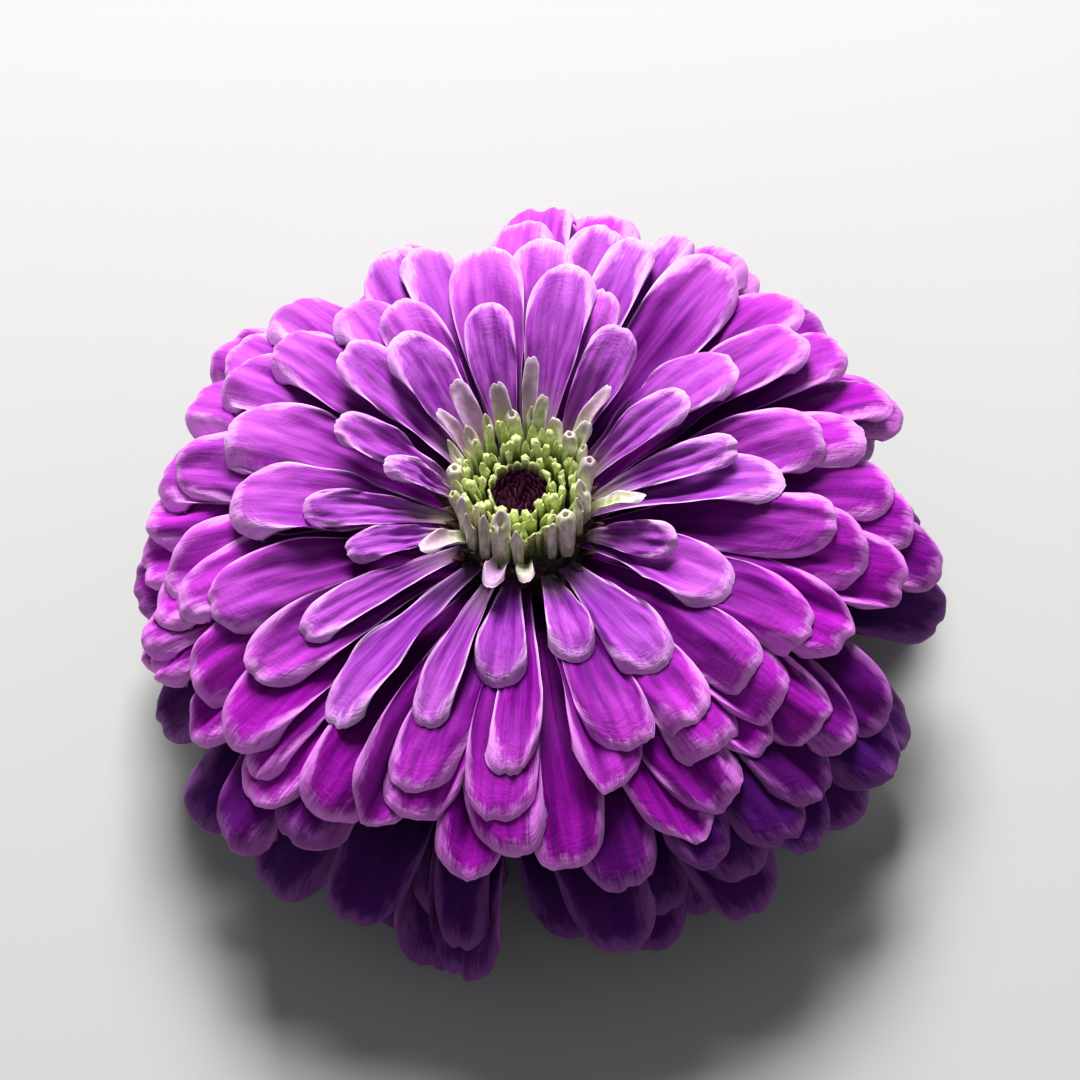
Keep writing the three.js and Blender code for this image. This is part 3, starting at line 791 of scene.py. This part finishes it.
def petal_paint(name):
    paint = Paint(name, 0.5, Sheen_Weight=0.03, Sheen_Tint=srgb(230, 120, 236), Specular_IOR_Level=0.05)
    keys = ("along", "across", "edge", "upper", "level", "age", "fresh", "chance")
    along, across, edge, upper, level, age, fresh, each = (paint.attribute(key) for key in keys)
    fine = noise(xyz(across * 13.0, along * 1.6, each * 37.0), 3.0, 3.0, 0.6)
    streak = noise(xyz(across * 5.0, along * 1.1, each * 71.0), 2.0, 2.0, 0.5)
    broad = noise(xyz(across * 2.2, along * 1.6, each * 53.0), 1.8, 2.0)
    mottle = noise(xyz(across * 3.0, along * 9.0, each * 19.0), 1.6, 3.0, 0.55)
    cloud = smooth(broad, 0.3, 0.7)
    ridge = calc("COSINE", across * CHANNEL_ANGLE) * 0.5 + 0.5

    # From the dark foot, painted shade where the florets above cover it, to the saturated magenta of the
    # open blade and the pink of its outer part, partly a painted highlight. The painted shade reaches
    # further out, and the blade turns from pale to deep magenta, with age and shade.
    pale = paint.mix(cloud, srgb(152, 44, 168), srgb(180, 76, 192))
    deep = paint.mix(cloud, srgb(98, 0, 112), srgb(150, 0, 160))
    rich = paint.mix(smooth(age + (each - 0.5) * 0.36, 0.05, 0.5), pale, deep)
    foot = paint.mix(smooth(level, 0.06, 0.4), srgb(104, 4, 122), srgb(92, 0, 102))
    stage = along + (broad - 0.5) * 0.3 + (each - 0.5) * 0.16
    grown = paint.mix(smooth(stage - age * 0.45, 0.2, 0.78), foot, rich)
    pink = paint.mix(smooth(age, 0.06, 0.48), srgb(206, 106, 216), srgb(204, 40, 210))
    outer = smooth(stage, 0.66, 1.06) * (0.74 - smooth(age, 0.3, 0.8) * 0.4)
    violet = smooth(each, 0.55, 1.0) * smooth(age, 0.4, 0.1) * 0.3
    grown = paint.mix(violet, paint.mix(outer, grown, pink), srgb(140, 56, 186))

    # Half-grown florets are lilac on a pale green foot, and old, shaded ones turn dark violet, near
    # black at the covered foot: partly their own colour, partly painted shade.
    lilac = paint.mix(cloud, srgb(136, 42, 160), srgb(188, 98, 208))
    young = paint.mix(smooth(along, 0.04, 0.42), srgb(186, 186, 146), lilac)
    old_and_shaded = paint.mix(smooth(along, 0.4, 1.0), srgb(14, 0, 22), srgb(68, 16, 98))
    aged_and_shaded = smooth(age + (each - 0.5) * 0.2, 0.5, 0.76)
    tone = paint.mix(aged_and_shaded, paint.mix(fresh, grown, young), old_and_shaded)
    fade = 1.0 - aged_and_shaded * 0.82

    # Veins and streaks along the blade: painted shade darkens its channels and a painted highlight
    # lightens the ridges between them, broken up by streaks.
    lines = ridge + (streak - 0.5) * 1.6
    tone = paint.mix(smooth(lines, 0.55, 0.0) * (each * 0.22 + 0.06), tone, srgb(92, 0, 106))
    painted_highlight = paint.mix(smooth(age, 0.06, 0.44), srgb(220, 116, 230), srgb(206, 10, 214))
    tone = paint.mix(smooth(lines, 0.6, 1.2) * 0.16 * fade, tone, painted_highlight)
    tone = paint.mix(smooth(fine, 0.5, 0.25) * 0.18, tone, srgb(52, 0, 74))

    # The margin is pale in a band that widens towards the bent-down tip, with a paler line outside,
    # partly a painted highlight where the raised margin catches the light. Both turn pinker with age and
    # shade.
    ripened_and_shaded = smooth(age, 0.1, 0.5)
    streaky = (fine - 0.5) * 1.6 + (mottle - 0.5) * 2.0
    band = smooth(along, 0.66, 1.0) * (each * 1.4 + 0.5 + level * 2.2) + 0.1
    rimmed = (1.0 - smooth(edge / band + streaky * smooth(along, 0.5, 0.9), 0.1, 1.3)) * 0.84 * fade
    tone = paint.mix(rimmed, tone, paint.mix(ripened_and_shaded, srgb(238, 172, 244), srgb(242, 146, 246)))
    # Painted highlight: pale frosted mottling towards the tip, less on the shaded and older florets.
    frosted_highlight = smooth(mottle + (fine - 0.5) * 0.6, 0.5, 0.9) * smooth(along, 0.5, 1.0)
    frosted_highlight = frosted_highlight * smooth(age, 0.9, 0.2) * 0.22 * fade
    tone = paint.mix(frosted_highlight, tone, paint.mix(0.4, painted_highlight, srgb(240, 170, 244)))
    line = (1.0 - smooth(edge + (fine - 0.5) * 0.24, 0.06, 0.36)) * smooth(along, 0.05, 0.3)
    line = line * smooth(broad + (each - 0.5) * 0.4, 0.4, 0.7) * 0.8 * fade
    tone = paint.mix(line, tone, paint.mix(ripened_and_shaded, srgb(246, 200, 250), srgb(234, 150, 242)))
    paint.set("Base Color", paint.mix((1.0 - upper) * 0.3, tone, srgb(150, 84, 168)))
    wrinkles = noise(xyz(across * 2.4, along * 44.0, each * 13.0), 1.4, 2.0) * smooth(along, 0.62, 0.96)
    paint.bump(fine * 0.5 + mottle + wrinkles, 0.6, 0.2 * MM)
    return paint


rays = [lower_ray(i) for i in range(SPIRAL[0], SPIRAL[1] + 1)]
rays += [
    stacked(ray)
    for ray in rays
    if ray["level"] < STACKED_LEVEL and chance.uniform() < STACKED_SHARE
]
rays += [upper_ray(*row) for row in UPPER_RAYS]
rays += [
    ray_habit(math.radians(degrees), (reach, height), width, HALF_GROWN_LEVEL, fresh)
    for degrees, reach, height, width, fresh in INNER_RAYS
]
rays += [upper_ray(*row) for row in STACKED_RAYS]
rays.sort(key=polar_angle)
rays = [ray | {"order": i} for i, ray in enumerate(rays)]
ray_sizes = {"Rows": RAY_ROWS, "Columns": RAY_COLUMNS, "Thickness": 0.4, "Claw": 0.3, "Widest": 0.73}
ray_sizes |= {"Narrowing": 0.03, "Blunt": 1.15, "Groove": 0.13, "Hem": 0.3, "Fray": 0.5}
petal = petal_paint("petal_magenta")
layer_names = ("upper", "middle", "lower", "lowest")
for layer, part in zip(np.array_split(rays, len(layer_names)), layer_names):
    seats = blade_seats(layer)
    grow("ray_florets_" + part, blades, seats, petal, "petal", ["ray_florets"], settle, **ray_sizes)

# Brown chaff between the claws, in rings: how far out, how high and how many.
CHAFF_RINGS = ((7.2, 33.6, 26), (8.2, 31.8, 26))

claw_paint = Paint("claw_chaff_brown", 0.6)
claw_tip = smooth(claw_paint.attribute("along"), 0.3, 0.9)
claw_skin = claw_paint.mix(claw_paint.attribute("chance"), srgb(70, 60, 40), srgb(96, 42, 62))
claw_paint.set("Base Color", claw_paint.mix(claw_tip, srgb(64, 66, 40), claw_skin))


def claw_chaff(out, rise, turn):
    """One pointed scale between the claws, on the shoulder of the receptacle."""
    tip = (out + chance.uniform(1.2, 2.4), rise + chance.uniform(1.2, 3.0))
    seat = {"azimuth": turn + chance.uniform(-0.08, 0.08), "root": (out - 0.6, rise - 0.8), "tip": tip}
    seat |= {"shoulder": (out + 0.5, rise + 1.0), "cup": 0.5, "swell": 0.4}
    seat["width"] = chance.uniform(1.1, 1.7)
    return seat | varied(phase=(0, 1), chance=(0, 1), roll=(-0.4, 0.4))


claw_seats = blade_seats([
    claw_chaff(out, rise, (i + ring / 2) * math.tau / count)
    for ring, (out, rise, count) in enumerate(CHAFF_RINGS)
    for i in range(count)
])
scale_sizes = {"Rows": 12, "Columns": 7, "Thickness": 0.25, "Narrowing": 0.8, "Blunt": 2.0}
claw_sizes = scale_sizes | {"Claw": 0.8, "Widest": 0.35}
grow("claw_chaff", blades, claw_seats, claw_paint, "disc_scale", ["ray_florets"], **claw_sizes)

# ---------- young ray florets ----------
# The newest petals, pale green at the foot and mauve at the mouth: a crown still rolled into tubes that
# are cut off slantwise, and among and round them those that have opened to a narrow, channelled strap.

# The bed that all florets of the disc stand on, and how far they lean to +Y for each unit of height.
BED_TOP = 35.2
DISC_FACING = 0.26

# The rolled ones: azimuth in degrees, radius and height.
TUBES = [
    (8, 1, 7.4), (22, 0.6, 6.6), (36, 0.9, 7.4), (58, 0.8, 6.8), (80, 0.6, 6.4), (98, 0.9, 6.6),
    (116, 0.6, 6.2), (134, 0.9, 6), (152, 0.7, 5.6), (170, 1, 5.4), (188, 0.7, 4.8), (204, 1.1, 5.4),
    (222, 0.7, 5.2), (236, 0.8, 5.6), (250, 1.2, 6.6), (268, 0.7, 5.4), (302, 0.7, 6), (316, 1.15, 6.8),
    (332, 0.6, 5.6), (350, 0.9, 6.2),
]

# The open ones: azimuth in degrees, how far out and how high the tip is, width, and how mauve it is.
STRAPS = [
    (38, 10.2, 42.5, 1.9, 0.1), (47, 15.3, 42, 1.9, 0.5), (73, 9.9, 43, 1.7, 0),
    (83, 13.6, 44.5, 1.9, 0.6), (103, 11.2, 43.5, 2.3, 0.5), (122, 14, 42.5, 2.6, 0.9),
    (137, 12.8, 41.5, 1.8, 0.6), (213, 13.4, 39, 2.3, 0.3), (253, 11.6, 37, 2.7, 1),
    (275, 10.8, 37.5, 2.1, 0.1), (352, 14.6, 40.5, 1.9, 0.2),
]


def young_paint(name):
    paint = Paint(name, 0.55, Sheen_Weight=0.1)
    along, each, level = paint.attribute("along"), paint.attribute("chance"), paint.attribute("level")
    streaks = noise(paint.object_place() * (1.0, 1.0, 0.25), 1500.0, 3.0)
    skin = paint.mix(smooth(streaks, 0.3, 0.7), srgb(182, 188, 128), srgb(252, 250, 230))
    skin = paint.mix(smooth(along, 0.4, 0.05) * 0.4, skin, srgb(126, 148, 66))
    mouth = smooth(along + (streaks - 0.5) * 0.4 + (each - 0.5) * 0.4 + level * 0.5, 0.58, 0.98)
    tone = paint.mix(mouth * 0.75, skin, paint.mix(level, srgb(186, 148, 172), srgb(190, 116, 202)))
    line = 1.0 - smooth(paint.attribute("edge") + (streaks - 0.5) * 0.1, 0.04, 0.16)
    flat = smooth(paint.attribute("upper") * paint.attribute("upper"), 0.2, 0.8)
    paint.set("Base Color", paint.mix(line * flat * 0.7, tone, srgb(240, 228, 240)))
    paint.bump(streaks, 0.4, 0.2 * MM)
    return paint


young = young_paint("young_petal")
tube_tree = stalk_tree(
    "tube",
    [
        (0, 0, 0), (0.04, 0.74, 0.02), (0.4, 0.92, 0.5), (0.62, 1, None), (0.66, None, 0.84),
        (0.73, 0.8, None), (0.76, None, 0.97), (0.8, 0.5, 1), (0.85, 0.3, 0.99), (0.92, 0.22, 0.9),
        (1, 0, 0.84),
    ],
    ribs=(5, 0.08),
)
tube_degrees, tube_radii, tube_heights = np.array(TUBES).T
tube_turns = np.radians(tube_degrees) + chance.uniform(-0.04, 0.04, len(TUBES))
tube_seats = {
    "azimuth": tube_turns,
    "radius": tube_radii * MM,
    "height": tube_heights * MM,
    "out": chance.uniform(6.6, 7.5, len(TUBES)) * MM,
    "foot": np.full(len(TUBES), BED_TOP - 0.9) * MM,
    "lean": np.radians(4 + 6 * np.sin(tube_turns) + chance.uniform(-6, 6, len(TUBES))),
    "bend": chance.uniform(-0.4, 0.8, len(TUBES)) * MM,
    "slant": chance.uniform(-1.4, 1.6, len(TUBES)) * MM,
    "chance": chance.uniform(0, 1, len(TUBES)),
}
tube_sizes = {"Around": 25, "Stations": 30, "Facing": DISC_FACING}
grow("young_tubes", tube_tree, tube_seats, young, "young_petal", ["young_ray_florets"], **tube_sizes)


def strap(degrees, reach, height, width, mauve):
    foot, tip = (7, BED_TOP - 0.8), (reach, height)
    seat = {"azimuth": math.radians(degrees), "root": foot, "tip": tip, "width": width}
    seat["shoulder"] = ((foot[0] + tip[0]) / 2 - 0.7, (foot[1] + tip[1]) / 2 + 0.6)
    seat |= {"cup": 1.0, "notch": 0.04, "swell": 0.5, "ruffle": 0.1, "level": mauve}
    return seat | varied(phase=(0, 1), chance=(0, 1), twist=(-0.4, 0.4))


strap_seats = blade_seats([strap(*row) for row in STRAPS])
strap_sizes = {"Rows": 22, "Columns": 11, "Thickness": 0.35, "Claw": 0.6, "Widest": 0.7, "Blunt": 1.2}
strap_sizes |= {"Facing": DISC_FACING * 0.5, "Bed": BED_TOP}
grow("young_straps", blades, strap_seats, young, "young_petal", ["young_ray_florets"], **strap_sizes)

# ---------- disc florets ----------
# Three rings of lime-green florets in bud, each a slim stalk with a five-lobed knob, and among them the
# thin, pointed chaff scales that each floret of the disc grows beside.

DISC_FLORET_COUNTS = (14, 18, 24)
CHAFF_COUNT = 78

bud_paint = Paint("bud_lime", 0.42, Sheen_Weight=0.1)
bud_grain = noise(bud_paint.object_place(), 1800.0, 2.0)
bud_foot = smooth(bud_paint.attribute("along"), 0.3, 0.85)
bud_skin = bud_paint.mix(smooth(bud_grain, 0.3, 0.7), srgb(172, 194, 90), srgb(226, 234, 158))
bud_skin = bud_paint.mix(bud_paint.attribute("chance") * 0.6, bud_skin, srgb(236, 240, 184))
bud_paint.set("Base Color", bud_paint.mix(bud_foot, srgb(104, 122, 54), bud_skin))
bud_paint.bump(bud_grain, 0.3, 0.15 * MM)

bud_tree = stalk_tree(
    "bud",
    [
        (0, 0, 0), (0.03, 0.6, 0), (0.5, 0.66, 0.5), (0.7, 0.84, 0.74), (0.84, 1, 0.88),
        (0.94, 0.74, 0.98), (1, 0, 1),
    ],
    ribs=(5, 0.17),
)


def bud(ring, count, i):
    """Bud number i of a ring: 0 is the innermost ring, 2 the outermost."""
    share = ring / 2
    return {
        "azimuth": (i + share) * math.tau / count + chance.uniform(-0.12, 0.12),
        "radius": chance.uniform(0.34, 0.6) * MM,
        "height": lerp(4.6, 5.7, share) * chance.uniform(0.76, 1.12) * MM,
        "out": (lerp(3.9, 6.1, share) + chance.uniform(-0.3, 0.3)) * MM,
        "foot": (BED_TOP - 0.6) * MM,
        "lean": math.radians(lerp(-4, 4, share) + chance.uniform(-8, 8)),
        "bend": chance.uniform(-0.3, 0.3) * MM,
        "slant": chance.uniform(-0.3, 0.3) * MM,
        "chance": chance.uniform(0, 1),
    }


buds = [bud(ring, count, i) for ring, count in enumerate(DISC_FLORET_COUNTS) for i in range(count)]
bud_seats = {key: [each[key] for each in buds] for key in buds[0]}
bud_sizes = {"Around": 16, "Stations": 16, "Facing": DISC_FACING}
grow("disc_buds", bud_tree, bud_seats, bud_paint, "disc_bud", ["disc_florets"], **bud_sizes)


def chaff(i):
    """Scale number i of three rings, the innermost of which stand upright."""
    share = i % 3 / 2
    out = lerp(3.5, 6.1, share)
    slope = lerp(0, 0.9, share) * chance.uniform(0.2, 1.4)
    tip = (out + slope, BED_TOP + lerp(3.4, 5.6, share) * chance.uniform(0.8, 1.1))
    turn = i * math.tau / CHAFF_COUNT + chance.uniform(-0.1, 0.1)
    seat = {"azimuth": turn, "root": (out, BED_TOP - 0.8), "shoulder": (out, BED_TOP + 3.5), "tip": tip}
    seat |= {"width": chance.uniform(0.9, 1.5), "cup": 0.5, "swell": 0.3}
    return seat | varied(phase=(0, 1), chance=(0, 1), roll=(-0.4, 0.4))


chaff_sizes = scale_sizes | {"Claw": 0.7, "Widest": 0.4, "Facing": DISC_FACING, "Bed": BED_TOP}
chaff_seats = blade_seats([chaff(i) for i in range(CHAFF_COUNT)])
grow("disc_chaff", blades, chaff_seats, bud_paint, "disc_bud", ["disc_florets"], **chaff_sizes)

# ---------- disc eye ----------
# The dark maroon middle of the disc: pointed, papery scales that close over the florets still to open.

EYE_RADIUS = 3.5
EYE_SCALES = 90

eye_paint = Paint("eye_maroon", 0.6, Specular_IOR_Level=0.25)
eye_point = smooth(eye_paint.attribute("along"), 0.55, 1.0)
eye_skin = eye_paint.mix(eye_paint.attribute("chance"), srgb(28, 0, 28), srgb(70, 10, 66))
eye_paint.set("Base Color", eye_paint.mix(eye_point * 0.6, eye_skin, srgb(98, 22, 78)))


def eye_scale(i):
    out = EYE_RADIUS * math.sqrt((i + 0.5) / EYE_SCALES)
    lift = 4.5 - 1.5 * (out / EYE_RADIUS) ** 2 + chance.uniform(-0.5, 0.7)
    seat = {"azimuth": i * GOLDEN_ANGLE, "width": chance.uniform(0.7, 1.0), "cup": 0.4}
    seat |= {"root": (out, BED_TOP - 0.6), "shoulder": (out * 1.08, BED_TOP + lift * 0.4)}
    seat["tip"] = (out * 0.86, BED_TOP - 0.9 + lift)
    return seat | varied(chance=(0, 1), roll=(-0.5, 0.5), phase=(0, 1))


eye_sizes = scale_sizes | {"Rows": 10, "Thickness": 0.3, "Claw": 0.8, "Widest": 0.4}
eye_sizes |= {"Facing": DISC_FACING, "Bed": BED_TOP}
eye_seats = blade_seats([eye_scale(i) for i in range(EYE_SCALES)])
grow("eye_scales", blades, eye_seats, eye_paint, "disc_scale", ["disc_eye"], **eye_sizes)

core_low, core_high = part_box("disc_eye")
core_profile = [(0, 0, 0), (0.1, 0.9, 0), (0.6, 0.86, 0.45), (0.85, 0.5, 0.6), (1, 0, 0.62)]
core_tree = stalk_tree("eye_core", core_profile)
core_seat = {"radius": [core_high.x], "height": [core_high.z - core_low.z], "foot": [core_low.z]}
grow("eye_core", core_tree, core_seat, eye_paint, "disc_scale", ["disc_eye"], Around=33, Stations=16)

# ---------- table, light and camera ----------
# A plain pale table, soft light from above and behind as under an open sky, and the camera that looks
# down on the bloom's face.

TABLE_SIZE = 6
TABLE_TONE = (0.46, 0.46, 0.45, 1)
SKY_TONE = (0.95, 0.97, 1, 1)
SKY_STRENGTH = 0.2
LIGHT_PLACE = Vector((-0.03, 0.6, 0.63))
LIGHT_SIZE = 0.34
LIGHT_POWER = 16
DISC_CENTRE = Vector((0, 0, 38 * MM))
CAMERA_ELEVATION = math.radians(66)
CAMERA_TURN = math.radians(8)
CAMERA_DISTANCE = 0.372
CAMERA_LENS = 109
AIM = (2.3 * MM, -4.9 * MM)

bpy.ops.mesh.primitive_plane_add(size=TABLE_SIZE)
table = bpy.context.object
table.name = "table"
table.data.materials.append(Paint("table_pale", 0.8, Base_Color=TABLE_TONE).material)

scene = bpy.context.scene
scene.world = bpy.data.worlds.new("sky")
scene.world.use_nodes = True
sky = scene.world.node_tree.nodes["Background"]
sky.inputs["Color"].default_value = SKY_TONE
sky.inputs["Strength"].default_value = SKY_STRENGTH

lamp = bpy.data.objects.new("key", bpy.data.lights.new("key", "AREA"))
lamp.data.size = LIGHT_SIZE
lamp.data.energy = LIGHT_POWER
lamp.location = LIGHT_PLACE
lamp.rotation_euler = (DISC_CENTRE - LIGHT_PLACE).to_track_quat("-Z", "Y").to_euler()
scene.collection.objects.link(lamp)

# From the disc back to the camera, and the picture's right and top, rolled by the same turn.
sine, cosine = math.sin(CAMERA_TURN), math.cos(CAMERA_TURN)
ground = math.cos(CAMERA_ELEVATION)
back = Vector((sine * ground, -cosine * ground, math.sin(CAMERA_ELEVATION)))
right = Matrix.Rotation(-CAMERA_TURN, 3, back) @ Vector((cosine, sine, 0))
above = back.cross(right)
camera = bpy.data.objects.new("camera", bpy.data.cameras.new("camera"))
camera.data.lens = CAMERA_LENS
camera.location = DISC_CENTRE + right * AIM[0] + above * AIM[1] + back * CAMERA_DISTANCE
camera.rotation_euler = Matrix((right, above, back)).transposed().to_euler()
scene.collection.objects.link(camera)
scene.camera = camera
scene.view_settings.view_transform = "Standard"
